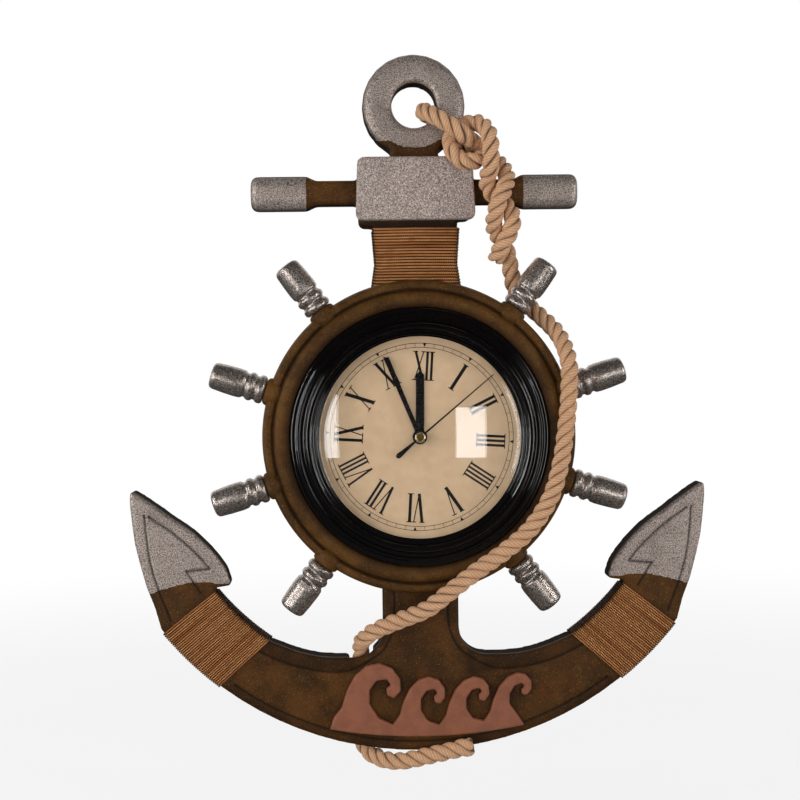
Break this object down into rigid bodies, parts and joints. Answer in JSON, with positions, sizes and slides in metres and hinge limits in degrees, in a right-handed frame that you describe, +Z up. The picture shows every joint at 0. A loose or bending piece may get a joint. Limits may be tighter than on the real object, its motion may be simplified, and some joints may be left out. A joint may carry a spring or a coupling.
{
  "type": "anchor wall clock",
  "caption": "Anchor-shaped wall clock: flat painted board with ring, stock and flukes, a spoked wheel rim round a domed quartz clock, wound twine bands and a tied rope.",
  "frame": {"origin": "hanging point on the board's flat back, on the stock's centre line", "axes": "+X to the right as seen from the front, +Z up towards the ring, +Y into the wall, so the clock faces -Y"},
  "size_m": [0.373, 0.0497, 0.4619],
  "materials": {
    "painted_board": "fibreboard under mottled olive-brown distressed paint, matt",
    "silver_paint": "fibreboard and turned wood under rubbed grainy silver paint with dark edges",
    "terracotta_paint": "fibreboard under matt terracotta paint",
    "jute_twine": "thin twisted jute twine",
    "cotton_rope": "soft three-strand cotton rope",
    "black_plastic": "moulded, matt black",
    "black_gloss": "moulded, glossy black",
    "clear_lens": "clear domed lens",
    "dial_print": "printed cream card, matt",
    "hand_black": "stamped sheet, satin black",
    "hub_brass": "polished",
    "white_nylon": "moulded nylon",
    "zinc_steel": "zinc plated",
    "copper_wire": "enamelled copper winding",
    "circuit_green": "printed circuit board",
    "battery_sleeve": "plain sleeved cell"
  },
  "bodies": {
    "root": {"anchor_board": "painted_board", "head_plate": "silver_paint", "wheel_rim": "painted_board", "spoke_1": "silver_paint", "spoke_2": "silver_paint", "spoke_3": "silver_paint", "spoke_4": "silver_paint", "spoke_5": "silver_paint", "spoke_6": "silver_paint", "spoke_7": "silver_paint", "spoke_8": "silver_paint", "wave_ornament": "terracotta_paint", "shank_winding": "jute_twine", "right_arm_winding": "jute_twine", "left_arm_winding": "jute_twine", "rope": "cotton_rope", "clock_case": "black_plastic", "case_screw_1": "zinc_steel", "case_screw_2": "zinc_steel", "case_screw_3": "zinc_steel", "case_screw_4": "zinc_steel", "bezel": "black_gloss", "lens": "clear_lens", "dial": "dial_print", "movement_front_cover": "black_plastic", "movement_rear_cover": "black_plastic", "coil": "copper_wire", "stator": "zinc_steel", "circuit_board": "circuit_green", "battery": "battery_sleeve", "battery_contact_left": "zinc_steel", "battery_contact_right": "zinc_steel", "hanger": "zinc_steel", "hanger_nail_left": "zinc_steel", "hanger_nail_right": "zinc_steel"},
    "minute": {"minute_hand": "hand_black", "centre_wheel": "white_nylon"},
    "hour": {"hour_hand": "hand_black", "hour_wheel": "white_nylon"},
    "set": {"set_knob": "white_nylon", "motion_wheel": "white_nylon"},
    "second": {"second_hand": "hand_black", "hub_cap": "hub_brass", "seconds_wheel": "zinc_steel"},
    "third": {"third_wheel": "white_nylon"},
    "step": {"step_wheel": "white_nylon"},
    "motor": {"rotor": "zinc_steel"}
  },
  "joints": [
    {"name": "minute_hand_turn", "type": "hinge", "parent": "root", "child": "minute", "pos_m": [0, -0.03, -0.1573], "axis": [0, 1, 0], "continuous": true},
    {"name": "hour_hand_turn", "type": "hinge", "parent": "root", "child": "hour", "pos_m": [0, -0.03, -0.1573], "axis": [0, 1, 0], "continuous": true},
    {"name": "set_knob_turn", "type": "hinge", "parent": "root", "child": "set", "pos_m": [-0.01022, -0.02, -0.1514], "axis": [0, 1, 0], "continuous": true},
    {"name": "second_hand_turn", "type": "hinge", "parent": "root", "child": "second", "pos_m": [0, -0.03, -0.1573], "axis": [0, 1, 0], "continuous": true},
    {"name": "third_wheel_turn", "type": "hinge", "parent": "root", "child": "third", "pos_m": [0.00967, -0.02, -0.15053], "axis": [0, 1, 0], "continuous": true},
    {"name": "step_wheel_turn", "type": "hinge", "parent": "root", "child": "step", "pos_m": [-0.00161, -0.02, -0.14814], "axis": [0, 1, 0], "continuous": true},
    {"name": "rotor_turn", "type": "hinge", "parent": "root", "child": "motor", "pos_m": [0.00286, -0.02, -0.14175], "axis": [0, 1, 0], "continuous": true}
  ],
  "couplings": [
    {"joint": "hour_hand_turn", "follows": "minute_hand_turn", "ratio": 0.083333},
    {"joint": "set_knob_turn", "follows": "minute_hand_turn", "ratio": -0.33333},
    {"joint": "third_wheel_turn", "follows": "second_hand_turn", "ratio": -0.125},
    {"joint": "step_wheel_turn", "follows": "second_hand_turn", "ratio": -6},
    {"joint": "rotor_turn", "follows": "second_hand_turn", "ratio": 30}
  ]
}
